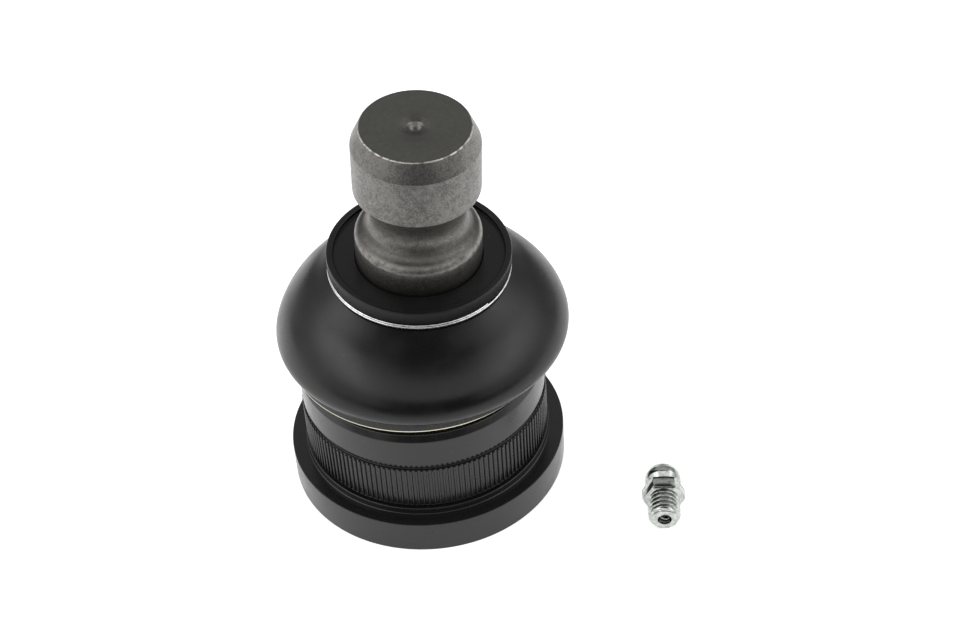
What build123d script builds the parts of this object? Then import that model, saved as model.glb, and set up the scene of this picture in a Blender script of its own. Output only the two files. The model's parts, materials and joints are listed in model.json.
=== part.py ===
from build123d import *
import os
from math import asin, atan2, cos, degrees, hypot, pi, radians, sin, sqrt, tan

# Suspension ball joint with a pinch-bolt stud, and its grease fitting lying beside it.
# Millimetres and degrees. +Z is up the housing's axis, and the origin is the centre of
# the flange's underside, on which the joint stands.

# ---------------------------------------------------------------- driving dimensions

# Ball, and how far the stud swings from the housing's axis
ball_radius = 13.5
stud_lean = 3.8            # the stud stands leaning by this much
lean_heading = -45.0       # and towards this heading, from +X towards +Y

# Housing: one steel forging, turned and knurled
flange_reach = 2.8         # the flange, beyond the collar on it
flange_height = 6.8
flange_edge = 0.5
collar_radius = 23.3
collar_height = 1.4
knurl_radius = 23.1
knurl_depth = 0.45
knurl_length = 9.0
knurl_teeth = 144
knurl_gap = 0.7            # plain step between the collar and the knurl
relief_radius = 22.3
relief_length = 1.3
band_radius = 22.9
neck_inset = 1.9           # from the press band's radius in to the boot's seat
band_length = 5.9
shoulder_inset = 0.6
shoulder_length = 1.4
neck_length = 4.8
seat_wall = 2.45           # thickness of the seat ring, between the ball and its cavity
mouth_edge = 0.6           # flare at the top of the mouth

# Cover plate, rolled in under the housing
plate_radius = 18.0
plate_thickness = 2.0
plate_slack = 0.05         # gap round the plate's edge, which the rolled lip holds down
lip_depth = 0.4            # underside of the rolled lip, above the flange's underside
lip_thickness = 0.9
lip_reach = 1.5
lip_wall = 1.6
relief_groove = 1.4        # groove round the lip that leaves room for rolling
boss_radius = 5.2
boss_height = 1.3
port_radius = 2.5          # tapping hole for an M6 thread

# Bearings and the spring washer
film = 0.05                # running clearance of the ball and of the cup
seat_slack = 0.03          # gap of the seat ring in its cavity
seat_angle = 59.0          # polar angle of the seat ring's open end
preload_gap = 0.6          # between the seat ring and the cup
cup_floor = 2.2            # thickness of the cup under the ball
cup_grease_hole = 3.0
washer_outer = 15.0
washer_inner = 8.0
washer_thickness = 0.9
washer_rise = 0.7

# Ball stud above the ball
shank_radius = 7.2
shank_blend = 1.5
shank_length = 16.0        # from the ball's centre to where the shank starts to widen
stud_collar_radius = 11.3
stud_collar_bottom = 24.5  # heights on the stud are measured from the ball's centre
stud_collar_top = 36.7
groove_radius = 6.0        # the pinch bolt's groove is an arc of this radius
head_radius = 11.2
head_bottom = 46.8
head_top = 59.7
head_chamfer = 1.55
head_chamfer_length = 3.5
head_round = 0.4           # rounding of the head's lower edge
collar_round = 1.0         # rounding of the collar's upper edge
centre_radius = 2.6        # centre drilling in the end face
centre_depth = 1.3

# Boot, its retaining ring and its wire clip
boot_wall = 1.7
boot_gap = 0.1             # between the rubber and what it grips
foot_gap = 0.05            # between the boot's wall and the ring's edge, and over the clip
bead_width = 2.2           # the boot's foot, held between the neck and its ring
ring_height = 2.0
ring_wall = 0.8
ring_lift = 4.05           # the ring's underside, above the top of the press band
bulge_reach = 2.5          # the bulge's radius, beyond the ring's
bulge_rise = 4.8           # and its height above the ring
shoulder_reach = 5.7       # the shoulder's radius, beyond the boot's neck
shoulder_drop = 3.4        # and its depth below the neck
boot_neck_wall = 4.75      # from the stud's collar out to the clip's middle
boot_rim_height = 31.6     # on the stud, from the ball's centre
boot_rim_wall = 1.3
boot_floor_drop = 0.8
boot_rim_length = 3.2      # from the rim's top down to the clip's groove
bulge_shift = 2.4          # the bulge is pushed aside by the leaning stud
bulge_heading = -70.0      # towards this heading
boot_sections = 10
clip_wire = 0.35           # wire radius
clip_pitch = 0.75
clip_turns = 1.75

# Grease fitting, M6 with a 7 mm hexagon
thread_radius = 3.0
thread_length = 5.0
thread_chamfer = 0.6
hex_width = 7.0
hex_length = 2.8
hex_chamfer = 0.3
fitting_neck_radius = 2.4
fitting_neck_length = 0.6
fitting_head_radius = 3.35
fitting_head_length = 4.5
fitting_bore = 1.25
inlet_radius = 0.6
inlet_length = 1.6
check_radius = 1.05
spring_wire = 0.15
spring_radius = 0.85
spring_turns = 6
crimp_wall = 0.45
fitting_x = 41.7           # centre of the threaded end, and where the head points
fitting_y = -27.7
fitting_heading = 83.0

# ---------------------------------------------------------------- shared places

flange_radius = collar_radius + flange_reach
cavity_radius = ball_radius + film + seat_wall
neck_radius = band_radius - neck_inset
collar_top = flange_height + collar_height
knurl_bottom = collar_top + knurl_gap
knurl_top = knurl_bottom + knurl_length
band_bottom = knurl_top + relief_length
band_top = band_bottom + band_length
shoulder_top = band_top + shoulder_length
housing_top = shoulder_top + neck_length
plate_bottom = lip_depth + lip_thickness
plate_top = plate_bottom + plate_thickness
ring_bottom = band_top + ring_lift
ring_top = ring_bottom + ring_height
bead_radius = neck_radius + boot_gap + bead_width
ring_radius = bead_radius + boot_gap + ring_wall
cup_bottom = plate_top + washer_thickness + washer_rise + film
ball_height = cup_bottom + cup_floor + film + ball_radius
grip_radius = stud_collar_radius + boot_gap
coil_radius = grip_radius + boot_neck_wall
rim_radius = coil_radius + clip_wire
groove_middle = (stud_collar_top + head_bottom) / 2


def on_sphere(radius, polar):
    """Point (radius, height) at a polar angle on a sphere round the ball's centre."""
    return (radius * sin(radians(polar)), ball_height + radius * cos(radians(polar)))


def turned(outline):
    """Solid of revolution about Z of a closed outline drawn in (radius, height)."""
    return revolve(Plane.XZ * make_face(outline), Axis.Z)


def sphere_arc(radius, polar_start, polar_end):
    """Arc on a sphere round the ball's centre, drawn in (radius, height)."""
    middle = (polar_start + polar_end) / 2
    return ThreePointArc(
        on_sphere(radius, polar_start), on_sphere(radius, middle), on_sphere(radius, polar_end)
    )


def leaned(shape, share=1.0):
    """Turn a shape about the ball's centre, by a share of the stud's lean."""
    centre = Pos(0, 0, ball_height)
    turn = Rot(0, 0, lean_heading) * Rot(0, stud_lean * share, 0) * Rot(0, 0, -lean_heading)
    return centre * turn * centre.inverse() * shape


# ---------------------------------------------------------------- housing and what it holds


def make_knurl():
    """Straight knurl: a zigzag ring that is fused to the housing's body."""
    pitch = 360.0 / knurl_teeth
    points = []
    for tooth in range(knurl_teeth):
        tip = radians(tooth * pitch)
        root = radians((tooth + 0.5) * pitch)
        low = knurl_radius - knurl_depth
        points.append((knurl_radius * cos(tip), knurl_radius * sin(tip)))
        points.append((low * cos(root), low * sin(root)))
    ring = make_face(Polyline(*points, close=True)) - Circle(relief_radius - 1.0)
    return Pos(0, 0, knurl_bottom) * extrude(ring, knurl_length)


def make_housing():
    """Forged housing, with its ball cavity, mouth and rolled lip."""
    lip_outer = plate_radius + lip_wall
    mouth_polar = seat_angle - 7.0
    mouth = on_sphere(cavity_radius, mouth_polar)
    mouth_top = (mouth[0] + mouth_edge, housing_top)
    outside = Polyline(
        on_sphere(cavity_radius, 90),
        (cavity_radius, plate_top),
        (plate_radius, plate_top),
        (plate_radius, plate_bottom),
        (plate_radius - lip_reach, plate_bottom),
        (plate_radius - lip_reach + lip_thickness * 0.3, lip_depth),
        (lip_outer, lip_depth),
        (lip_outer, plate_bottom),
        (lip_outer + relief_groove, plate_bottom),
        (lip_outer + relief_groove, 0),
        (flange_radius, 0),
        (flange_radius, flange_height),
        (collar_radius, flange_height),
        (collar_radius, collar_top),
        (relief_radius, collar_top),
        (relief_radius, band_bottom),
        (band_radius, band_bottom),
        (band_radius, band_top),
        (band_radius - shoulder_inset, shoulder_top),
        (neck_radius, shoulder_top),
        (neck_radius, housing_top),
        mouth_top,
        mouth,
    )
    body = turned(outside + sphere_arc(cavity_radius, mouth_polar, 90))
    rims = body.edges().filter_by(GeomType.CIRCLE).filter_by(
        lambda edge: abs(edge.radius - flange_radius) < 0.01
    )
    return fillet(rims, flange_edge) + make_knurl()


def make_cover_plate():
    """Pressed cover plate with a tapped boss for the grease fitting."""
    plate = Pos(0, 0, plate_bottom) * extrude(Circle(plate_radius - plate_slack), plate_thickness)
    boss = Pos(0, 0, plate_top) * extrude(Circle(boss_radius), boss_height)
    port = Pos(0, 0, plate_bottom) * extrude(Circle(port_radius), plate_thickness + boss_height)
    return plate + boss - port


def make_spring_washer():
    """Cone spring washer that presses the cup up against the ball."""
    outline = Polyline(
        (washer_outer, plate_top),
        (washer_outer, plate_top + washer_thickness),
        (washer_inner, plate_top + washer_thickness + washer_rise),
        (washer_inner, plate_top + washer_rise),
        close=True,
    )
    return turned(outline)


def make_seat_ring():
    """Seat ring between the upper half of the ball and the housing."""
    inner = ball_radius + film
    outer = cavity_radius - seat_slack
    outline = (
        sphere_arc(inner, seat_angle, 90)
        + Line(on_sphere(inner, 90), on_sphere(outer, 90))
        + sphere_arc(outer, 90, seat_angle)
        + Line(on_sphere(outer, seat_angle), on_sphere(inner, seat_angle))
    )
    return turned(outline)


def make_cup():
    """Pressure cup under the ball, free to slide and turn in the cavity."""
    inner = ball_radius + film
    outer = cavity_radius - film
    top_polar = 90 + degrees(asin(preload_gap / inner))
    hole_polar = 180 - degrees(asin(cup_grease_hole / inner))
    cup_top = ball_height - preload_gap
    outline = (
        sphere_arc(inner, top_polar, hole_polar)
        + Polyline(
            on_sphere(inner, hole_polar),
            (cup_grease_hole, cup_bottom),
            (outer - 1.0, cup_bottom),
            (outer, cup_bottom + 1.0),
            (outer, cup_top),
            on_sphere(inner, top_polar),
        )
    )
    return turned(outline)


# ---------------------------------------------------------------- ball stud


def make_ball_stud():
    """Ball, waisted shank, collar, pinch groove and chamfered head in one forging."""
    def up(height):
        return ball_height + height

    neck_polar = degrees(asin(shank_radius / ball_radius))
    half_groove = (head_bottom - stud_collar_top) / 2
    groove_sag = sqrt(groove_radius**2 - half_groove**2)
    groove_axis = (head_radius + stud_collar_radius) / 2 + groove_sag
    outline = (
        sphere_arc(ball_radius, 180, neck_polar)
        + Polyline(
            on_sphere(ball_radius, neck_polar),
            (shank_radius, up(shank_length)),
            (stud_collar_radius, up(stud_collar_bottom)),
            (stud_collar_radius, up(stud_collar_top)),
        )
        + ThreePointArc(
            (stud_collar_radius, up(stud_collar_top)),
            (groove_axis - groove_radius, up(groove_middle)),
            (head_radius, up(head_bottom)),
        )
        + Polyline(
            (head_radius, up(head_bottom)),
            (head_radius, up(head_top - head_chamfer_length)),
            (head_radius - head_chamfer, up(head_top)),
            (centre_radius, up(head_top)),
            (0, up(head_top - centre_depth)),
            (0, up(-ball_radius)),
        )
    )
    stud = turned(outline)
    for radius, height, rounding in (
        (shank_radius, ball_radius * cos(radians(neck_polar)), shank_blend),
        (stud_collar_radius, stud_collar_top, collar_round),
        (head_radius, head_bottom, head_round),
    ):
        ring = stud.edges().filter_by(GeomType.CIRCLE).filter_by(
            lambda edge: abs(edge.radius - radius) < 0.01 and abs(edge.center().Z - up(height)) < 0.01
        )
        stud = fillet(ring, rounding)
    return leaned(stud)


# ---------------------------------------------------------------- boot and its rings


def ring_on_boot(radius, height, foot, crown):
    """Circle of the boot's wall, leaning and pushed aside as far as its height asks."""
    share = min(max((height - foot) / (crown - foot), 0.0), 1.0)
    aside = 4 * share * (1 - share) * bulge_shift
    heading = radians(bulge_heading)
    shift = Pos(aside * cos(heading), aside * sin(heading), 0)
    return shift * leaned(Pos(0, 0, height) * Circle(radius), share)


def make_boot():
    """Rubber boot: bead in the retaining ring, bulging wall, and rim round the stud."""
    foot = ring_top + foot_gap
    groove = ball_height + boot_rim_height - boot_rim_length
    crown = groove - clip_pitch * clip_turns - clip_wire * 2 - boot_gap
    wall = Spline(
        (ring_radius - ring_wall / 2, foot),
        (ring_radius + bulge_reach, ring_top + bulge_rise),
        (coil_radius + shoulder_reach, crown - shoulder_drop),
        (coil_radius, crown),
        tangents=[(0.7, 1), (-1, 0.4)],
    )
    outside = []
    inside = []
    for index in range(boot_sections + 1):
        point = wall @ (index / boot_sections)
        along = wall % (index / boot_sections)
        outside.append(ring_on_boot(point.X, point.Y, foot, crown))
        inner_radius = point.X - boot_wall * along.Y
        inner_height = point.Y + boot_wall * along.X
        if index == 0:
            inner_height = foot - 0.5
        inside.append(ring_on_boot(inner_radius, inner_height, foot, crown))
    shell = loft(outside) - loft(inside)
    bead = turned(
        Polyline(
            (neck_radius + boot_gap, ring_bottom + ring_wall),
            (bead_radius, ring_bottom + ring_wall),
            (bead_radius, foot + boot_wall / 2),
            (neck_radius + boot_gap, housing_top),
            close=True,
        )
    )
    rim_top = ball_height + boot_rim_height
    floor = rim_top - boot_floor_drop
    rim = turned(
        Polyline(
            (grip_radius, floor),
            (rim_radius - boot_rim_wall, floor),
            (rim_radius - boot_rim_wall, rim_top),
            (rim_radius, rim_top),
            (rim_radius, groove),
            (coil_radius - clip_wire, groove),
            (coil_radius - clip_wire, crown - boot_wall / 2),
            (grip_radius, crown - boot_wall / 2),
            close=True,
        )
    )
    opening = Pos(0, 0, crown - boot_wall * 3) * extrude(
        Circle(grip_radius + boot_wall / 2), boot_wall * 4
    )
    return shell - leaned(opening) + bead + leaned(rim)


def make_boot_ring():
    """Plated steel ring: a foot pressed on the housing's neck, and a band round the bead."""
    return turned(
        Polyline(
            (neck_radius, ring_bottom),
            (ring_radius, ring_bottom),
            (ring_radius, ring_top),
            (ring_radius - ring_wall, ring_top),
            (ring_radius - ring_wall, ring_bottom + ring_wall),
            (neck_radius, ring_bottom + ring_wall),
            close=True,
        )
    )


def make_boot_clip():
    """Wire clip wound round the boot's neck."""
    path = Helix(pitch=clip_pitch, height=clip_pitch * clip_turns, radius=coil_radius)
    start = Plane(origin=path @ 0, z_dir=path % 0)
    wire = sweep(start * Circle(clip_wire), path=path, is_frenet=True)
    top = ball_height + boot_rim_height - boot_rim_length - clip_wire - foot_gap
    return leaned(Pos(0, 0, top - clip_pitch * clip_turns) * wire)


# ---------------------------------------------------------------- grease fitting


def fitting_place():
    """Place of the fitting: its axis lies flat, and a flat of its hexagon is down."""
    return Pos(fitting_x, fitting_y, hex_width / 2) * Rot(0, 0, fitting_heading) * Rot(0, 90, 0)


def fitting_length():
    """Length of the fitting from its threaded end to its head."""
    return thread_length + hex_length + fitting_neck_length + fitting_head_length


def make_fitting_body():
    """Grease fitting: threaded end, hexagon, neck and round head, drilled through."""
    hex_start = thread_length
    hex_end = hex_start + hex_length
    head_start = hex_end + fitting_neck_length
    end = head_start + fitting_head_length
    shaft = turned(
        Polyline(
            (0, 0),
            (thread_radius - thread_chamfer, 0),
            (thread_radius, thread_chamfer),
            (thread_radius, hex_start),
            (thread_radius, hex_start + hex_length / 2),
            (fitting_neck_radius, hex_start + hex_length / 2),
            (fitting_neck_radius, head_start),
            (fitting_head_radius, head_start + 0.9),
            (fitting_head_radius, end - 2.3),
            (fitting_head_radius * 0.8, end - 0.8),
            (fitting_head_radius * 0.45, end),
            (0, end),
            close=True,
        )
    )
    hexagon = Pos(0, 0, hex_start) * extrude(
        RegularPolygon(hex_width / 2, 6, major_radius=False, rotation=30), hex_length
    )
    corner = hex_width / sqrt(3)
    envelope = turned(
        Polyline(
            (0, hex_start),
            (corner - hex_chamfer * 1.7, hex_start),
            (corner, hex_start + hex_chamfer),
            (corner, hex_end - hex_chamfer),
            (corner - hex_chamfer * 1.7, hex_end),
            (0, hex_end),
            close=True,
        )
    )
    seat = end - inlet_length
    bore = turned(
        Polyline(
            (0, 0),
            (fitting_bore - crimp_wall * 0.5, 0),
            (fitting_bore, crimp_wall),
            (fitting_bore, seat - fitting_bore + inlet_radius),
            (inlet_radius, seat),
            (inlet_radius, end),
            (0, end),
            close=True,
        )
    )
    return fitting_place() * (shaft + (hexagon & envelope) - bore)


def check_place():
    """Distance of the check ball's centre from the threaded end: it sits on its cone."""
    seat = fitting_length() - inlet_length
    cone_tip = seat + inlet_radius
    return cone_tip - (check_radius + film) * sqrt(2)


def make_check_ball():
    """Steel ball that closes the inlet."""
    return fitting_place() * Pos(0, 0, check_place()) * Sphere(check_radius)


def make_check_spring():
    """Wire spring between the check ball and the crimped end of the bore."""
    start = crimp_wall + spring_wire + film
    stop = check_place() - sqrt(check_radius**2 - spring_radius**2) - spring_wire * 2
    height = stop - start
    path = Helix(pitch=height / spring_turns, height=height, radius=spring_radius)
    profile = Plane(origin=path @ 0, z_dir=path % 0) * Circle(spring_wire)
    coil = sweep(profile, path=path, is_frenet=True)
    return fitting_place() * Pos(0, 0, start) * coil


# ---------------------------------------------------------------- write the parts

parts = {
    "housing": make_housing(),
    "cover_plate": make_cover_plate(),
    "spring_washer": make_spring_washer(),
    "upper_seat_ring": make_seat_ring(),
    "lower_pressure_cup": make_cup(),
    "ball_stud": make_ball_stud(),
    "dust_boot": make_boot(),
    "boot_retaining_ring": make_boot_ring(),
    "boot_neck_clip": make_boot_clip(),
    "grease_fitting_body": make_fitting_body(),
    "grease_check_ball": make_check_ball(),
    "grease_check_spring": make_check_spring(),
}

os.makedirs("parts", exist_ok=True)
for name, part in parts.items():
    export_step(part, f"parts/{name}.step")
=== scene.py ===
"""Suspension ball joint with its grease fitting: finished pieces, finishes and stage."""
import json
from math import asin, atan2, cos, degrees, pi, radians, sin, sqrt, tan, tau

import bpy
from mathutils import Matrix, Vector


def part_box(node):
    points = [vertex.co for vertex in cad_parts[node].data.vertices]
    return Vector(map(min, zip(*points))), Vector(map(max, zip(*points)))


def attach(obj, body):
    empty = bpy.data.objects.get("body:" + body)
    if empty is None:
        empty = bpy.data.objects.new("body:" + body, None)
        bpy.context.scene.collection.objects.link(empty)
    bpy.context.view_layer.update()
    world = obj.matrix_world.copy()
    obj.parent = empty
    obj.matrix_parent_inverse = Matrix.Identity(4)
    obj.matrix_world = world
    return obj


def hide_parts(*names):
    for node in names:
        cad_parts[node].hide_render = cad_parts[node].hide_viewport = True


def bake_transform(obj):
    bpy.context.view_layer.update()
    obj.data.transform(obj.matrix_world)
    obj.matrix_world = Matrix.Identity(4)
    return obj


bl_info = {
    "name": "Ball Joint Maker",
    "version": (1, 0, 0),
    "blender": (4, 5, 0),
    "location": "3D View > Sidebar > Ball Joint",
    "description": "Builds the pieces, finishes and stage of a suspension ball joint",
    "category": "Add Mesh",
}

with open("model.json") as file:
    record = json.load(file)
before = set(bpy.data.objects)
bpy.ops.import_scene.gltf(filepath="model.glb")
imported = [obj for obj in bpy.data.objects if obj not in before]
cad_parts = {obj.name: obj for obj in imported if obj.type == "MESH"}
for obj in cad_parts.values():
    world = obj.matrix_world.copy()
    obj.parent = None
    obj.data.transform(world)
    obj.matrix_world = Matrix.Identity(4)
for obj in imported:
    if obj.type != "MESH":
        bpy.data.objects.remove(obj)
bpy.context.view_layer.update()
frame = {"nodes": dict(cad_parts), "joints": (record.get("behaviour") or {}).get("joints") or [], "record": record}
bpy.ops.object.select_all(action="DESELECT")

MM = 0.001
MOUNTS = {mount["name"]: mount for mount in frame["record"]["mounts"]}
JOINTS = {joint["name"]: joint for joint in frame["joints"]}

# Places and sizes that the frame already holds
BALL = Vector(JOINTS["stud_spin"]["pos_m"])
STUD_AXIS = Vector(JOINTS["stud_spin"]["axis"]).normalized()
HEAD_RADIUS = MOUNTS["stud_clamp"]["dims"]["r_mm"] * MM
BAND_RADIUS = MOUNTS["press_band"]["dims"]["r_mm"] * MM
BAND_LENGTH = MOUNTS["press_band"]["dims"]["length_mm"] * MM
BAND_MIDDLE = MOUNTS["press_band"]["pos_m"][2]
FLANGE_HEIGHT = MOUNTS["flange_seat"]["pos_m"][2]
FLANGE_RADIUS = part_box("housing")[1][0]
HOUSING_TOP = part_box("housing")[1][2]
RING_LOW, RING_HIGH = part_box("boot_retaining_ring")
RING_RADIUS = RING_HIGH[0]
PLATE_LOW, PLATE_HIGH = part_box("cover_plate")
CHECK_LOW, CHECK_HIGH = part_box("grease_check_ball")
CHECK_BALL = (Vector(CHECK_LOW) + Vector(CHECK_HIGH)) / 2
CHECK_RADIUS = (CHECK_HIGH[2] - CHECK_LOW[2]) / 2

# Sizes that several pieces share
CLEARANCE = 0.05 * MM
INLET_DEPTH = 1.6 * MM

LEAN = (
    Matrix.Translation(BALL)
    @ Vector((0, 0, 1)).rotation_difference(STUD_AXIS).to_matrix().to_4x4()
    @ Matrix.Translation(-BALL)
)


# ---------------------------------------------------------------- settings


def length(name, value, description):
    """A size that can be set, given in millimetres."""
    return bpy.props.FloatProperty(
        name=name,
        default=value * MM,
        description=description,
        subtype="DISTANCE",
        unit="LENGTH",
        precision=5,
    )


def bearing(name, value, description):
    """A direction that can be set, given in degrees."""
    return bpy.props.FloatProperty(
        name=name, default=radians(value), description=description, subtype="ANGLE"
    )


def number(name, value, least, most, description):
    """A count that can be set."""
    return bpy.props.IntProperty(name=name, default=value, min=least, max=most, description=description)


def colour(name, value, description):
    """A finish's colour that can be set."""
    return bpy.props.FloatVectorProperty(
        name=name, default=value, description=description, subtype="COLOR", size=3, min=0.0, max=1.0
    )


class HousingSettings(bpy.types.PropertyGroup):
    """Sizes of the turned housing."""

    collar_radius: length("Collar radius", 23.3, "Radius of the step on the flange")
    collar_height: length("Collar height", 1.4, "Height of that step")
    collar_fillet: length("Collar fillet", 0.25, "Hollow at the foot of that step")
    knurl_gap: length("Knurl gap", 0.7, "Plain step between the collar and the knurl")
    knurl_length: length("Knurl length", 9.0, "Length of the knurled stretch")
    knurl_radius: length("Knurl radius", 23.1, "Radius over the knurl's ridges")
    knurl_depth: length("Knurl depth", 0.33, "How far the ridges stand proud")
    ridge_radius: length("Ridge radius", 0.25, "Roundness of one ridge")
    knurl_teeth: number("Knurl ridges", 144, 24, 360, "How many ridges the knurl has")
    relief_radius: length("Relief radius", 22.3, "Radius of the groove above the knurl")
    shoulder_inset: length("Shoulder inset", 0.6, "How far the shoulder above the band tapers in")
    shoulder_length: length("Shoulder length", 1.4, "Height of that shoulder")
    neck_radius: length("Neck radius", 21.0, "Radius of the boot's seat at the top")
    mouth_radius: length("Mouth radius", 13.2, "Radius of the mouth round the stud")
    cavity_radius: length("Cavity radius", 16.0, "Radius of the ball's cavity")


class BootSettings(bpy.types.PropertyGroup):
    """Sizes of the rubber boot, its ring and its wire clip."""

    wall: length("Boot wall", 1.5, "Thickness of the rubber")
    bulge_shift: length("Bulge shift", 2.4, "How far the leaning stud pushes the bulge aside")
    bulge_heading: bearing("Bulge heading", -70.0, "Which way the bulge is pushed")
    rim_radius: length("Rim radius", 16.5, "Radius of the rim round the stud")
    rim_rise: length("Rim rise", 31.6, "Height of the rim's top above the ball's centre")
    rim_length: length("Rim length", 2.75, "Height of the rim, down to the clip's groove")
    rim_wall: length("Rim wall", 1.25, "Width of the raised rim")
    floor_drop: length("Floor drop", 0.8, "Depth of the recess inside the rim")
    grip_radius: length("Grip radius", 11.4, "Radius where the rubber grips the stud")
    groove_length: length("Groove length", 1.45, "Length of the clip's groove")
    wire_radius: length("Wire radius", 0.22, "Radius of the clip's wire")
    wire_pitch: length("Wire pitch", 0.44, "Distance between the clip's turns")
    wire_turns: bpy.props.FloatProperty(
        name="Wire turns", default=1.75, min=1.0, max=4.0, description="How many turns the clip makes"
    )
    wire_start: bearing("Wire start", 43.0, "Where the clip's lower end lies")
    ring_wall: length("Ring wall", 0.8, "Thickness of the retaining ring")


class StudSettings(bpy.types.PropertyGroup):
    """Sizes of the ball stud, with heights from the ball's centre."""

    ball_radius: length("Ball radius", 13.5, "Radius of the ball")
    shank_radius: length("Shank radius", 7.2, "Radius of the stud just above the ball")
    shank_length: length("Shank length", 16.0, "Height at which the shank starts to widen")
    collar_radius: length("Collar radius", 11.3, "Radius of the collar below the groove")
    collar_bottom: length("Collar bottom", 24.5, "Height of the collar's lower end")
    collar_top: length("Collar top", 36.7, "Height of the collar's upper edge")
    groove_radius: length("Groove radius", 4.0, "Roundness of the lower part of the pinch bolt's groove")
    groove_waist: length("Groove waist", 8.5, "Least radius in that groove")
    head_bottom: length("Head bottom", 46.8, "Height of the head's lower edge")
    head_top: length("Head top", 59.7, "Height of the stud's end face")
    head_chamfer: length("Head chamfer", 1.55, "How far the head's chamfer runs in")
    head_chamfer_length: length("Head chamfer length", 3.5, "How far that chamfer runs down")
    head_round: length("Head rounding", 0.45, "Rounding of the head's lower edge")
    collar_round: length("Collar rounding", 2.0, "Rounding of the collar's upper edge")
    chamfer_round: length("Chamfer rounding", 0.9, "Rounding where the chamfer meets the head's side")
    face_round: length("Face rounding", 0.35, "Rounding round the end face")
    centre_radius: length("Centre radius", 2.6, "Radius of the centre drilling")
    centre_depth: length("Centre depth", 1.3, "Depth of the centre drilling")


class FittingSettings(bpy.types.PropertyGroup):
    """Sizes of the loose grease fitting."""

    thread_length: length("Thread length", 5.0, "Length of the threaded end")
    thread_radius: length("Thread radius", 3.0, "Radius over the thread")
    thread_depth: length("Thread depth", 0.58, "Depth of the thread")
    thread_pitch: length("Thread pitch", 1.0, "Distance from thread to thread")
    hex_width: length("Hexagon width", 7.0, "Width across the hexagon's flats")
    hex_length: length("Hexagon length", 2.8, "Length of the hexagon")
    neck_radius: length("Neck radius", 2.4, "Radius of the neck behind the head")
    neck_length: length("Neck length", 0.6, "Length of that neck")
    head_radius: length("Head radius", 3.35, "Radius of the head")
    head_length: length("Head length", 4.5, "Length of the head")
    bore_radius: length("Bore radius", 1.25, "Radius of the bore")
    inlet_radius: length("Inlet radius", 0.6, "Radius of the inlet")
    spring_wire: length("Spring wire", 0.15, "Radius of the check spring's wire")
    spring_radius: length("Spring radius", 0.85, "Radius of the check spring")
    spring_length: length("Spring length", 9.69, "From the check ball's centre to the spring's far end")
    spring_turns: number("Spring turns", 6, 2, 12, "How many turns the check spring makes")
    heading: bearing("Heading", 83.0, "Where the head points")


class FinishSettings(bpy.types.PropertyGroup):
    """Colours of the finishes."""

    steel: colour("Bare steel", (0.215, 0.21, 0.20), "Bare turned steel of the stud")
    steel_dark: colour("Dark steel", (0.11, 0.107, 0.10), "Mottled darker steel of the stud")
    coating: colour("Black coating", (0.008, 0.008, 0.008), "Satin coating of the housing")
    rubber: colour("Rubber", (0.004, 0.004, 0.0045), "Boot rubber")
    dust: colour("Dust", (0.22, 0.21, 0.19), "Dust on the dark pieces")
    zinc: colour("Zinc", (0.50, 0.525, 0.50), "Plating of the grease fitting")
    wire: colour("Wire", (0.72, 0.72, 0.71), "Bright wire of the clip")
    # The ring colour is used only for the painted highlight on the ring's lower edge, in the plating's yellowish
    # tint
    ring: colour("Ring", (0.70, 0.67, 0.54), "Plated steel of the boot's ring")


SETTINGS = {
    "joint_housing": HousingSettings,
    "joint_boot": BootSettings,
    "joint_stud": StudSettings,
    "joint_fitting": FittingSettings,
    "joint_finish": FinishSettings,
}


# ---------------------------------------------------------------- modelling


def turned(name, outline, sides=192):
    """A turned piece: a circle drawn out through each (radius, height) of a closed outline.

    Where the outline meets the axis it is closed there, and otherwise its end meets its start.
    """
    bpy.ops.object.select_all(action="DESELECT")
    on_axis = outline[0][0] == 0.0
    points = outline[1:-1] if on_axis else outline
    radius, height = points[0]
    bpy.ops.mesh.primitive_circle_add(vertices=sides, radius=radius, location=(0, 0, height))
    piece = bpy.context.object
    piece.name = name
    bpy.ops.object.transform_apply(location=True, rotation=False, scale=False)
    bpy.ops.object.mode_set(mode="EDIT")
    bpy.ops.mesh.select_all(action="SELECT")
    if on_axis:
        close_on_axis(outline[0][1] - height)
        select_ring(piece, sides)
    for next_radius, next_height in points[1:] + ([] if on_axis else [points[0]]):
        bpy.ops.mesh.extrude_region_move(
            TRANSFORM_OT_translate={"value": (0, 0, next_height - height)}
        )
        ratio = next_radius / radius
        bpy.ops.transform.resize(value=(ratio, ratio, 1), center_override=(0, 0, next_height))
        radius, height = next_radius, next_height
    if on_axis:
        close_on_axis(outline[-1][1] - height)
    bpy.ops.mesh.select_all(action="SELECT")
    bpy.ops.mesh.remove_doubles(threshold=0.002 * MM)
    bpy.ops.mesh.normals_make_consistent(inside=False)
    bpy.ops.object.mode_set(mode="OBJECT")
    return piece


def close_on_axis(rise):
    """Draw the selected circle in to one point on the axis, higher or lower by rise."""
    bpy.ops.mesh.extrude_region_move(TRANSFORM_OT_translate={"value": (0, 0, rise)})
    bpy.ops.mesh.merge(type="CENTER")


def select_ring(piece, sides):
    """Select the first circle of a turned piece again."""
    bpy.ops.mesh.select_all(action="DESELECT")
    bpy.ops.object.mode_set(mode="OBJECT")
    for vertex in piece.data.vertices[:sides]:
        vertex.select = True
    for edge in piece.data.edges:
        edge.select = all(index < sides for index in edge.vertices)
    bpy.ops.object.mode_set(mode="EDIT")


def arc(centre_radius, centre_height, radius, start, stop, steps):
    """Points of a round stretch of an outline, from one angle to another in degrees."""
    points = []
    for step in range(steps + 1):
        angle = radians(start + (stop - start) * step / steps)
        points.append((centre_radius + radius * cos(angle), centre_height + radius * sin(angle)))
    return points


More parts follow.
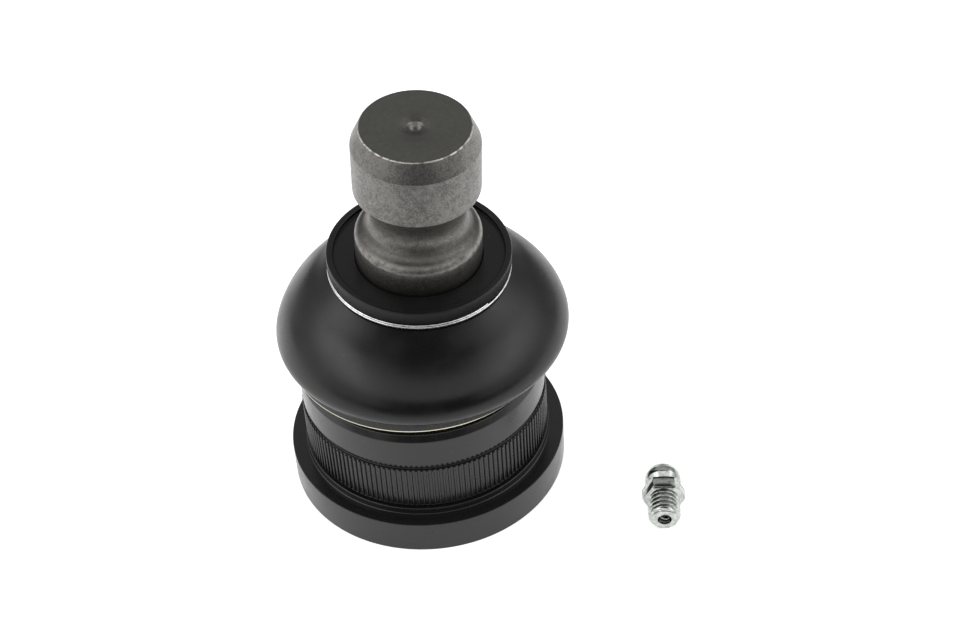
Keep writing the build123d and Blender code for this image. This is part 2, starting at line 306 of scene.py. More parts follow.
def corner(before, point, after, radius, steps=6):
    """Points that round one corner of an outline."""
    point = Vector(point)
    back, ahead = (Vector(before) - point).normalized(), (Vector(after) - point).normalized()
    half = back.angle(ahead) / 2
    centre = point + (back + ahead).normalized() * radius / sin(half)
    start, stop = point + back * radius / tan(half) - centre, point + ahead * radius / tan(half) - centre
    points = []
    for step in range(steps + 1):
        share = step / steps
        points.append(tuple(centre + (start * (1 - share) + stop * share).normalized() * radius))
    return points


def smooth_curve(points, steps):
    """Points of a smooth line through the points of an outline."""
    line = []
    ends = [points[0]] + list(points) + [points[-1]]
    for index in range(1, len(ends) - 2):
        before, here, there, after = (Vector(p) for p in ends[index - 1 : index + 3])
        for step in range(steps):
            t = step / steps
            point = 0.5 * (
                2 * here
                + (there - before) * t
                + (2 * before - 5 * here + 4 * there - after) * t**2
                + (3 * here - before - 3 * there + after) * t**3
            )
            line.append((point.x, point.y))
    line.append(tuple(points[-1]))
    return line


def only(piece):
    """Make one piece the selected and active one."""
    bpy.ops.object.select_all(action="DESELECT")
    piece.select_set(True)
    bpy.context.view_layer.objects.active = piece


def round_edges(piece, width, steps=3, angle=25):
    """Round a piece's sharp edges."""
    only(piece)
    bevel = piece.modifiers.new("Rounded edges", "BEVEL")
    bevel.width = width
    bevel.segments = steps
    bevel.limit_method = "ANGLE"
    bevel.angle_limit = radians(angle)
    bpy.ops.object.modifier_apply(modifier=bevel.name)


def smooth(piece, angle=35, weigh=True):
    """Shade a piece smooth up to an angle, its broad faces flat and its roundings soft."""
    only(piece)
    bpy.ops.object.shade_smooth_by_angle(angle=radians(angle))
    if not weigh:
        return
    weighed = piece.modifiers.new("Weighted normals", "WEIGHTED_NORMAL")
    weighed.mode = "FACE_AREA"
    weighed.keep_sharp = True
    bpy.ops.object.modifier_apply(modifier=weighed.name)


def combine(piece, tool, operation):
    """Cut, join or intersect a piece with a tool, which is used up."""
    only(piece)
    cut = piece.modifiers.new("Combined", "BOOLEAN")
    cut.object = tool
    cut.operation = operation
    cut.solver = "EXACT"
    bpy.ops.object.modifier_apply(modifier=cut.name)
    bpy.data.objects.remove(tool)


def put(piece, place):
    """Move a piece to its place, which its mesh then holds."""
    only(piece)
    piece.matrix_world = place @ piece.matrix_world
    bpy.ops.object.transform_apply(location=True, rotation=True, scale=True)


def join(pieces, name):
    """Join several pieces into one."""
    bpy.ops.object.select_all(action="DESELECT")
    for piece in pieces:
        piece.select_set(True)
    bpy.context.view_layer.objects.active = pieces[0]
    bpy.ops.object.join()
    pieces[0].name = name
    return pieces[0]


def coil(name, radius, wire, turns, low, high, first=0.0, steps=96):
    """A wire wound up the Z axis from one height to another."""
    curve = bpy.data.curves.new(name, "CURVE")
    curve.dimensions = "3D"
    curve.bevel_depth = wire
    curve.bevel_resolution = 4
    curve.use_fill_caps = True
    line = curve.splines.new("POLY")
    count = int(turns * steps)
    line.points.add(count)
    for step in range(count + 1):
        share = step / count
        angle = first + turns * tau * share
        line.points[step].co = (radius * cos(angle), radius * sin(angle), low + (high - low) * share, 1)
    piece = bpy.data.objects.new(name, curve)
    bpy.context.collection.objects.link(piece)
    only(piece)
    bpy.ops.object.convert(target="MESH")
    return bpy.context.object


def coat(mesh, material):
    """Give a mesh one material."""
    mesh.materials.clear()
    mesh.materials.append(material)


def finish(piece, material, slot, body, *nodes):
    """Give a piece its material, body and the CAD nodes that it stands for; the slot is not used."""
    coat(piece.data, material)
    if body:
        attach(piece, body)
    if nodes:
        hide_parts(*nodes)


# ---------------------------------------------------------------- finishes


class Wiring:
    """A tree of shader nodes, each made, set and linked in one call."""

    def __init__(self, tree):
        self.nodes, self.links = tree.nodes, tree.links

    def feed(self, socket, value):
        """Link a node's output to a socket, or write a plain value there."""
        if hasattr(value, "is_output"):
            self.links.new(value, socket)
        elif isinstance(value, (tuple, list)) and len(value) == 3 and socket.type == "RGBA":
            socket.default_value = (*value, 1)
        else:
            socket.default_value = value

    def add(self, kind, *feeds, **settings):
        """A node with its settings, and with its first inputs fed."""
        node = self.nodes.new(kind)
        for name, value in settings.items():
            setattr(node, name, value)
        for socket, value in zip(node.inputs, feeds):
            self.feed(socket, value)
        return node

    def math(self, operation, first, second=0.0, clamp=False):
        """The result of one sum."""
        return self.add("ShaderNodeMath", first, second, operation=operation, use_clamp=clamp).outputs[0]

    def times(self, first, second):
        """Two values multiplied."""
        return self.math("MULTIPLY", first, second)

    def both(self, first, second):
        """Where both of two shares from 0 to 1 hold."""
        return self.math("MULTIPLY", first, second, clamp=True)

    def spread(self, value, low, high, to_low=0.0, to_high=1.0):
        """Map a value from low..high softly to another range."""
        feeds = value, low, high, to_low, to_high
        return self.add("ShaderNodeMapRange", *feeds, interpolation_type="SMOOTHSTEP").outputs["Result"]

    def mix(self, share, first, second):
        """Colour between two colours."""
        node = self.add("ShaderNodeMix", share, data_type="RGBA")
        self.feed(node.inputs[6], first)
        self.feed(node.inputs[7], second)
        return node.outputs[2]

    def blend(self, share, first, second):
        """Number between two numbers."""
        node = self.add("ShaderNodeMix", share, data_type="FLOAT")
        self.feed(node.inputs[2], first)
        self.feed(node.inputs[3], second)
        return node.outputs[0]

    def split(self, vector):
        """The three numbers of a vector."""
        return self.add("ShaderNodeSeparateXYZ", vector).outputs


class Finish(Wiring):
    """A material and the nodes that make it up."""

    def __init__(self, name, centre=(0, 0, 0), turn=(0, 0, 0)):
        self.material = bpy.data.materials.new(name)
        self.material.use_nodes = True
        super().__init__(self.material.node_tree)
        self.shader = self.nodes["Principled BSDF"]
        coordinates = self.nodes.new("ShaderNodeTexCoord")
        place = self.nodes.new("ShaderNodeMapping")
        place.vector_type = "TEXTURE"
        place.inputs["Location"].default_value = centre
        place.inputs["Rotation"].default_value = turn
        self.links.new(coordinates.outputs["Object"], place.inputs["Vector"])
        self.place = place.outputs["Vector"]
        self.x, self.y, self.z = self.split(self.place)
        squares = self.math("ADD", self.times(self.x, self.x), self.times(self.y, self.y))
        self.radius = self.math("SQRT", squares)

    def scaled(self, stretch):
        """The piece's coordinates, stretched."""
        node = self.nodes.new("ShaderNodeMapping")
        node.inputs["Scale"].default_value = stretch
        self.links.new(self.place, node.inputs["Vector"])
        return node.outputs["Vector"]

    def joined(self, x, y=0.0, z=0.0):
        """A vector of three numbers."""
        return self.add("ShaderNodeCombineXYZ", x, y, z).outputs[0]

    def noise(self, size, detail=4.0, roughness=0.6, where=None):
        """Noise whose grains are about size across, in metres."""
        node = self.nodes.new("ShaderNodeTexNoise")
        node.inputs["Scale"].default_value = 1.0 / size
        node.inputs["Detail"].default_value = detail
        node.inputs["Roughness"].default_value = roughness
        self.links.new(where or self.place, node.inputs["Vector"])
        return node.outputs["Fac"]

    def cells(self, size):
        """Distance to scattered points about size apart, in metres."""
        node = self.nodes.new("ShaderNodeTexVoronoi")
        node.inputs["Scale"].default_value = 1.0 / size
        self.links.new(self.place, node.inputs["Vector"])
        return node.outputs["Distance"]

    def band(self, value, low, high, soft):
        """1 between low and high, falling to 0 over soft on each side."""
        rise = self.spread(value, low - soft, low)
        fall = self.spread(value, high, high + soft, 1.0, 0.0)
        return self.times(rise, fall)

    def relief(self, height, depth, strength=1.0, under=None):
        """Bump of a height from 0 to 1, depth deep in metres."""
        node = self.nodes.new("ShaderNodeBump")
        node.inputs["Strength"].default_value = strength
        node.inputs["Distance"].default_value = depth
        self.feed(node.inputs["Height"], height)
        if under:
            self.links.new(under, node.inputs["Normal"])
        return node.outputs["Normal"]

    def wear(self, colour, metallic, roughness, normal=None, specular=0.5):
        """Feed the shader."""
        self.feed(self.shader.inputs["Base Color"], colour)
        self.feed(self.shader.inputs["Metallic"], metallic)
        self.feed(self.shader.inputs["Roughness"], roughness)
        self.shader.inputs["Specular IOR Level"].default_value = specular
        if normal:
            self.links.new(normal, self.shader.inputs["Normal"])
        return self.material


def tuple_of(value):
    """A colour setting as three plain numbers."""
    return tuple(value)[:3]


def dusted(look, tone, share, apart, speck, patch, patch_low):
    """A tone with specks of dust, apart from each other in millimetres and gathered in patches."""
    specks = look.spread(look.cells(apart * MM), 0.03, speck, 1.0, 0.0)
    scattered = look.both(specks, look.spread(look.noise(patch * MM, 2.0), patch_low, 0.62))
    dust = tuple_of(bpy.context.scene.joint_finish.dust)
    return look.mix(look.times(scattered, share), tone, dust)


def lean_turn():
    """The lean as the rotation of a mapping node."""
    return tuple(LEAN.to_euler())


def stud_steel():
    """Bare turned steel: fine grain, lathe rings on its end face, a bright worn edge round that face, a collar
    edge lightened partly by wear and partly as painted highlight, and painted shade low in the groove and towards
    the boot.
    """
    scene = bpy.context.scene
    stud, colours = scene.joint_stud, scene.joint_finish
    look = Finish("stud bare steel", tuple(BALL), lean_turn())
    grain = look.noise(0.28 * MM, 4.0, 0.65)
    mottle = look.noise(1.1 * MM, 5.0, 0.6)
    blotch = look.noise(6.0 * MM, 3.0, 0.55)
    streaks = look.noise(1.0 * MM, 3.0, 0.6, where=look.scaled((0.25, 0.25, 3.0)))
    shade = look.math("ADD", look.times(grain, 0.55), look.times(mottle, 0.3))
    shade = look.math("ADD", shade, look.times(blotch, 0.15))
    tone = look.mix(look.spread(shade, 0.41, 0.59), tuple_of(colours.steel_dark), tuple_of(colours.steel))
    rust = look.both(look.spread(blotch, 0.45, 0.7), look.spread(mottle, 0.4, 0.7))
    tone = look.mix(look.times(rust, 0.35), tone, (0.17, 0.135, 0.11))
    in_groove = look.band(look.z, stud.collar_top + 0.6 * MM, stud.head_bottom - 0.2 * MM, 0.6 * MM)
    streaked = look.both(in_groove, look.spread(streaks, 0.35, 0.7, 0.1, 0.4))
    tone = look.mix(streaked, tone, (0.105, 0.092, 0.076))
    # Painted shade: a darker mottled band low in the groove, just above the collar
    painted_groove_shade = look.band(look.z, stud.collar_top + 0.3 * MM, stud.collar_top + 1.4 * MM, 0.9 * MM)
    tone = look.mix(look.both(painted_groove_shade, look.spread(mottle, 0.3, 0.6, 0.35, 0.75)), tone, (0.06, 0.056, 0.05))
    # Painted shade: the stud darkens down the collar's side towards the boot
    painted_shade_at_boot = look.spread(look.z, stud.collar_top - 6.3 * MM, stud.collar_top - 3.2 * MM, 0.8, 0.0)
    tone = look.mix(painted_shade_at_boot, tone, (0.03, 0.028, 0.025))
    end_face = look.spread(look.z, stud.head_top - 0.2 * MM, stud.head_top - 0.08 * MM)
    drilled = look.spread(look.radius, stud.centre_radius - 0.1 * MM, stud.centre_radius + 0.1 * MM)
    inside = look.spread(look.radius, stud.centre_radius - 0.2 * MM, stud.centre_radius, 0.7, 0.0)
    face = look.math("MAXIMUM", look.both(end_face, drilled), inside)
    tone = look.mix(look.times(face, 0.8), tone, (0.13, 0.13, 0.118))
    rings = look.noise(0.3 * MM, 3.0, 0.65, where=look.joined(look.radius))
    tone = look.mix(look.both(face, look.spread(rings, 0.35, 0.65, 0.0, 0.45)), tone, (0.10, 0.10, 0.092))
    face_radius = HEAD_RADIUS - stud.head_chamfer
    top_edge = look.both(
        look.band(look.radius, face_radius - 0.10 * MM, face_radius + 0.04 * MM, 0.1 * MM),
        look.spread(look.z, stud.head_top - 0.35 * MM, stud.head_top - 0.15 * MM),
    )
    # Lighter ragged band on the collar's rounded edge: partly wear, partly painted highlight
    collar_edge = look.both(
        look.band(look.z, stud.collar_top - 0.9 * MM, stud.collar_top - 0.1 * MM, 0.6 * MM),
        look.spread(look.radius, stud.collar_radius - 1.2 * MM, stud.collar_radius - 0.5 * MM),
    )
    ragged = look.spread(mottle, 0.3, 0.62)
    tone = look.mix(look.both(top_edge, look.spread(mottle, 0.4, 0.55, 0.1, 0.85)), tone, (0.55, 0.53, 0.48))
    tone = look.mix(look.times(look.both(collar_edge, ragged), 0.45), tone, (0.36, 0.35, 0.33))
    roughness = look.blend(look.spread(shade, 0.35, 0.65), 0.43, 0.34)
    bumps = look.relief(grain, 0.05 * MM, 0.6)
    turned_face = look.relief(look.both(rings, face), 0.03 * MM, 0.8, under=bumps)
    return look.wear(tone, 0.9, roughness, turned_face)


def boot_rubber():
    """Satin rubber with dust in its grain."""
    colours = bpy.context.scene.joint_finish
    look = Finish("boot rubber")
    grain = look.noise(0.35 * MM, 3.0, 0.6)
    cloud = look.noise(7.0 * MM, 4.0, 0.55)
    tone = dusted(look, tuple_of(colours.rubber), 0.35, apart=2.2, speck=0.07, patch=9.0, patch_low=0.52)
    tone = look.mix(look.spread(cloud, 0.45, 0.75, 0.0, 0.012), tone, tuple_of(colours.dust))
    roughness = look.blend(look.spread(cloud, 0.35, 0.65), 0.26, 0.34)
    return look.wear(tone, 0.0, roughness, look.relief(grain, 0.02 * MM, 0.35), specular=0.32)


def housing_coating():
    """Satin black coating over turned steel."""
    colours = bpy.context.scene.joint_finish
    look = Finish("housing black coating")
    grain = look.noise(0.3 * MM, 3.0, 0.6)
    cloud = look.noise(4.0 * MM, 4.0, 0.6)
    tone = dusted(look, tuple_of(colours.coating), 0.3, apart=2.6, speck=0.06, patch=8.0, patch_low=0.5)
    roughness = look.blend(look.spread(cloud, 0.35, 0.65), 0.2, 0.28)
    return look.wear(tone, 0.0, roughness, look.relief(grain, 0.015 * MM, 0.3), specular=0.43)


def ring_plating():
    """Dull plated ring, brushed upright, with a painted yellowish highlight on its lower edge from the left round
    to the front.
    """
    colours = bpy.context.scene.joint_finish
    look = Finish("ring plating")
    around = look.math("ARCTAN2", look.y, look.x)
    upright = look.joined(look.times(around, RING_RADIUS), look.times(look.z, 0.08))
    hatch = look.noise(0.3 * MM, 2.0, 0.5, where=upright)
    dull = look.mix(look.spread(hatch, 0.35, 0.65), (0.03, 0.03, 0.029), (0.052, 0.052, 0.05))
    edge = look.spread(look.z, RING_LOW[2] + 0.30 * MM, RING_LOW[2] + 0.40 * MM, 1.0, 0.0)
    # Painted highlight: the lower edge takes the bright plated colour from the left round to the front, and only a
    # little of it elsewhere
    painted_edge_highlight = look.both(edge, look.spread(around, -1.35, -0.95, 1.0, 0.12))
    tone = look.mix(painted_edge_highlight, dull, tuple_of(colours.ring))
    return look.wear(tone, 0.9, look.blend(edge, 0.5, 0.2), look.relief(hatch, 0.01 * MM, 0.25))


def plated_steel(name, tint, roughness_low, roughness_high):
    """Plated steel with a faint cloudiness."""
    look = Finish(name)
    cloud = look.noise(0.8 * MM, 4.0, 0.6)
    fine = look.noise(0.15 * MM, 2.0, 0.5)
    dull = tuple(0.62 * part for part in tint)
    tone = look.mix(look.spread(cloud, 0.35, 0.7), tint, dull)
    roughness = look.blend(look.spread(cloud, 0.3, 0.7), roughness_low, roughness_high)
    return look.wear(tone, 1.0, roughness, look.relief(fine, 0.01 * MM, 0.3))


# ---------------------------------------------------------------- pieces


class JOINT_OT_housing(bpy.types.Operator):
    """Turn the housing and set the ridges of its knurl round it"""

    bl_idname = "ball_joint.housing"
    bl_label = "Housing"

    def execute(self, context):
        sizes = context.scene.joint_housing
        body = self.barrel(sizes)
        ridges = self.ridges(sizes)
        coating = housing_coating()
        finish(body, coating, "housing_steel", "housing", "housing")
        finish(ridges, coating, "housing_steel", "housing", "housing")
        return {"FINISHED"}

    def barrel(self, sizes):
        """The turned body, with the knurl's root as a plain stretch."""
        collar_top = FLANGE_HEIGHT + sizes.collar_height
        knurl_low = collar_top + sizes.knurl_gap
        knurl_high = knurl_low + sizes.knurl_length
        root = sizes.knurl_radius - sizes.knurl_depth
        band_low = BAND_MIDDLE - BAND_LENGTH / 2
        band_high = BAND_MIDDLE + BAND_LENGTH / 2
        shoulder = band_high + sizes.shoulder_length
        fillet = sizes.collar_fillet
        lip_radius, lip_inside, lip_crest = 19.6 * MM, 16.5 * MM, 16.8 * MM
        lip_foot, lip_top = 0.4 * MM, PLATE_LOW[2]
        groove_radius = 21.0 * MM
        plate_radius = PLATE_HIGH[0] + CLEARANCE
        plate_top = PLATE_HIGH[2] - 1.3 * MM
        mouth_angle = 38
        outline = [
            (groove_radius, 0.0),
            (FLANGE_RADIUS, 0.0),
            (FLANGE_RADIUS, FLANGE_HEIGHT),
            *reversed(arc(sizes.collar_radius + fillet, FLANGE_HEIGHT + fillet, fillet, 180, 270, 6)),
            (sizes.collar_radius, collar_top),
            (sizes.relief_radius, collar_top),
            (sizes.relief_radius, knurl_low),
            (root, knurl_low),
            (root, knurl_high),
            (sizes.relief_radius, knurl_high),
            (sizes.relief_radius, band_low),
            (BAND_RADIUS, band_low),
            (BAND_RADIUS, band_high),
            (BAND_RADIUS - sizes.shoulder_inset, shoulder),
            (sizes.neck_radius, shoulder),
            (sizes.neck_radius, HOUSING_TOP),
            (sizes.mouth_radius, HOUSING_TOP),
        ]
        outline += arc(0, BALL.z, sizes.cavity_radius, mouth_angle, 0, 10)
        outline += [
            (sizes.cavity_radius, plate_top),
            (plate_radius, plate_top),
            (plate_radius, lip_top),
            (lip_inside, lip_top),
            (lip_crest, lip_foot),
            (lip_radius, lip_foot),
            (lip_radius, lip_top),
            (groove_radius, lip_top),
        ]
        piece = turned("housing_barrel", outline, 288)
        round_edges(piece, 0.16 * MM, 3, 18)
        smooth(piece)
        return piece

    def ridges(self, sizes):
        """Half-round ridges, one set after another round the barrel."""
        low = FLANGE_HEIGHT + sizes.collar_height + sizes.knurl_gap
        radius = sizes.ridge_radius
        bpy.ops.object.select_all(action="DESELECT")
        bpy.ops.mesh.primitive_cylinder_add(
            vertices=10,
            radius=radius,
            depth=sizes.knurl_length,
            end_fill_type="NGON",
            location=(sizes.knurl_radius - radius, 0, low + sizes.knurl_length / 2),
        )
        piece = bpy.context.object
        piece.name = "housing_knurl"
        bpy.ops.object.transform_apply(location=True, rotation=False, scale=False)
        round_edges(piece, 0.12 * MM, 2, 60)
        bpy.ops.object.mode_set(mode="EDIT")
        bpy.ops.mesh.select_all(action="SELECT")
        copies = sizes.knurl_teeth - 1
        bpy.ops.mesh.spin(
            steps=copies,
            dupli=True,
            angle=tau * copies / sizes.knurl_teeth,
            center=(0, 0, 0),
            axis=(0, 0, 1),
        )
        bpy.ops.mesh.select_all(action="SELECT")
        bpy.ops.mesh.normals_make_consistent(inside=False)
        bpy.ops.object.mode_set(mode="OBJECT")
        smooth(piece, 40)
        return piece


def boot_lean(piece, low, high, shift, towards):
    """Lean a boot's upper end with the stud, push its bulge aside, and leave its foot."""
    heading = atan2(STUD_AXIS.y, STUD_AXIS.x)
    tilt = STUD_AXIS.angle(Vector((0, 0, 1)))
    hinge = Vector((-sin(heading), cos(heading), 0))
    push = Vector((cos(towards), sin(towards), 0)) * shift
    for vertex in piece.data.vertices:
        share = min(max((vertex.co.z - low) / (high - low), 0.0), 1.0)
        place = Matrix.Rotation(tilt * share, 4, hinge) @ (vertex.co - BALL) + BALL
        vertex.co = place + push * 4 * share * (1 - share)


class JOINT_OT_boot(bpy.types.Operator):
    """Mould the rubber boot with its bead, its bulging wall and its rim"""

    bl_idname = "ball_joint.boot"
    bl_label = "Boot"

    def execute(self, context):
        sizes = context.scene.joint_boot
        foot = RING_HIGH[2] + CLEARANCE
        groove = BALL.z + sizes.rim_rise - sizes.rim_length
        crown = groove - sizes.groove_length
        piece = self.skin(sizes, foot, crown, groove)
        boot_lean(piece, foot, crown, sizes.bulge_shift, sizes.bulge_heading)
        finish(piece, boot_rubber(), "boot_rubber", None, "dust_boot")
        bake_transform(piece)
        return {"FINISHED"}

    def skin(self, sizes, foot, crown, groove):
        """The boot upright: outer wall up, rim, and inner wall down."""
        groove_floor = sizes.rim_radius - 2 * sizes.wire_radius - CLEARANCE
        bulge = [
            (radius * MM, foot + rise * MM)
            for radius, rise in (
                (23.85, 0.0),
                (24.7, 1.0),
                (25.8, 2.5),
                (26.65, 4.7),
                (26.2, 7.2),
                (25.0, 9.65),
                (23.15, 11.85),
                (20.95, 13.75),
                (18.5, 15.35),
            )
        ]
        bulge.append((sizes.rim_radius - sizes.wire_radius, crown))
        outside = smooth_curve(bulge, 5)
        rim_inner = sizes.rim_radius - sizes.rim_wall
        rim_top = BALL.z + sizes.rim_rise
        floor = rim_top - sizes.floor_drop
        rim_round, rim_chamfer = 0.25 * MM, 0.3 * MM
        rim = [(groove_floor, crown), (groove_floor, groove), (sizes.rim_radius - rim_chamfer, groove)]
        rim += [(sizes.rim_radius, groove + rim_chamfer)]
        rim += arc(sizes.rim_radius - rim_round, rim_top - rim_round, rim_round, 0, 90, 4)
        rim += arc(rim_inner + rim_round, rim_top - rim_round, rim_round, 90, 180, 4)
        rim += [(rim_inner, floor), (sizes.grip_radius, floor)]
        wall = sizes.wall
        grip_depth = 1.6 * MM
        inside = [(sizes.grip_radius, crown - grip_depth)]
        lining = []
        for index in range(len(bulge) - 1, 0, -1):
            before, after = Vector(bulge[index - 1]), Vector(bulge[min(index + 1, len(bulge) - 1)])
            along = (after - before).normalized()
            lining.append((bulge[index][0] - wall * along.y, bulge[index][1] + wall * along.x))
        inside += smooth_curve([point for point in lining if point[0] > sizes.grip_radius], 4)
        bead_low = RING_LOW[2] + sizes.ring_wall + 0.02 * MM
        bead_top, bead_inside, bead_outside = 21.3 * MM, 21.15 * MM, 23.25 * MM
        bead = [(bead_top, foot + 0.6 * MM), (bead_inside, bead_low), (bead_outside, bead_low)]
        piece = turned("rubber_boot", outside + rim + inside + bead, 192)
        round_edges(piece, 0.12 * MM, 3, 35)
        smooth(piece, 45)
        return piece


class JOINT_OT_ring(bpy.types.Operator):
    """Form the retaining ring at the boot's foot"""

    bl_idname = "ball_joint.ring"
    bl_label = "Retaining ring"

    def execute(self, context):
        sizes = context.scene.joint_boot
        neck = context.scene.joint_housing.neck_radius
        low, high = RING_LOW[2], RING_HIGH[2]
        wall = sizes.ring_wall
        outline = [
            (neck, low),
            (RING_RADIUS, low),
            (RING_RADIUS, high),
            (RING_RADIUS - wall, high),
            (RING_RADIUS - wall, low + wall),
            (neck, low + wall),
        ]
        piece = turned("retaining_ring", outline, 192)
        round_edges(piece, 0.25 * MM, 4, 30)
        smooth(piece)
        finish(piece, ring_plating(), "ring_steel", "housing", "boot_retaining_ring")
        return {"FINISHED"}


class JOINT_OT_clip(bpy.types.Operator):
    """Wind the wire clip round the boot's neck"""

    bl_idname = "ball_joint.clip"
    bl_label = "Wire clip"

    def execute(self, context):
        sizes = context.scene.joint_boot
        coil_radius = sizes.rim_radius - sizes.wire_radius
        top = BALL.z + sizes.rim_rise - sizes.rim_length - sizes.wire_radius - CLEARANCE
        turns = sizes.wire_turns
        low = top - sizes.wire_pitch * turns
        piece = coil("wire_clip", coil_radius, sizes.wire_radius, turns, low, top, sizes.wire_start)
        put(piece, LEAN)
        smooth(piece, 50)
        tint = tuple_of(context.scene.joint_finish.wire)
        bright = plated_steel("clip bright wire", tint, 0.15, 0.3)
        finish(piece, bright, "clip_wire", "leaning_neck", "boot_neck_clip")
        return {"FINISHED"}


class JOINT_OT_stud(bpy.types.Operator):
    """Turn the ball stud with its collar, pinch groove and chamfered head"""

    bl_idname = "ball_joint.stud"
    bl_label = "Ball stud"

    def execute(self, context):
        sizes = context.scene.joint_stud
        base = BALL.z
        groove = self.groove(sizes)
        collar_edge = (sizes.collar_radius, base + sizes.collar_top)
        head_edge = (HEAD_RADIUS, base + sizes.head_bottom)
        top = base + sizes.head_top
        chamfer_low = (HEAD_RADIUS, top - sizes.head_chamfer_length)
        chamfer_high = (HEAD_RADIUS - sizes.head_chamfer, top)
        ball_low, ball_high = -84, 57.8
        shank_low = base + 12.4 * MM
        outline = [(0, base - sizes.ball_radius)]
        outline += arc(0, base, sizes.ball_radius, ball_low, ball_high, 30)
        outline += [
            (sizes.shank_radius, shank_low),
            (sizes.shank_radius, base + sizes.shank_length),
            (sizes.collar_radius, base + sizes.collar_bottom),
        ]
        past_rounding = 6
        outline += corner(outline[-1], collar_edge, groove[past_rounding], sizes.collar_round, 12)
        outline += groove[past_rounding:-2]
        outline += corner(groove[-2], head_edge, chamfer_low, sizes.head_round, 8)
        outline += corner(head_edge, chamfer_low, chamfer_high, sizes.chamfer_round)
        outline += corner(chamfer_low, chamfer_high, (0, top), sizes.face_round)
        outline += [
            (sizes.centre_radius * radius, top - sizes.centre_depth * depth)
            for radius, depth in (
                (1.04, 0.0),
                (0.96, 0.05),
                (0.6, 0.2),
                (0.55, 0.24),
                (0.5, 0.38),
                (0.4, 0.66),
                (0.22, 0.9),
                (0.0, 1.0),
            )
        ]
        piece = turned("ball_stud_turned", outline, 192)
        smooth(piece, 40, weigh=False)
        put(piece, LEAN)
        finish(piece, stud_steel(), "stud_steel", "stud", "ball_stud")
        return {"FINISHED"}

    def groove(self, sizes):
        """The pinch bolt's groove from the collar up to the head, tightest just above the collar."""
        waist, low_radius = sizes.groove_waist, sizes.groove_radius
        low = sqrt(low_radius**2 - (low_radius - sizes.collar_radius + waist) ** 2)
        high = sizes.head_bottom - sizes.collar_top - low
        depth = HEAD_RADIUS - waist
        high_radius = (high**2 + depth**2) / (2 * depth)
        middle = BALL.z + sizes.collar_top + low
        low_turn, high_turn = degrees(asin(low / low_radius)), degrees(asin(high / high_radius))
        lower = arc(waist + low_radius, middle, low_radius, 180 + low_turn, 180, 18)
        return lower + arc(waist + high_radius, middle, high_radius, 180, 180 - high_turn, 18)[1:]


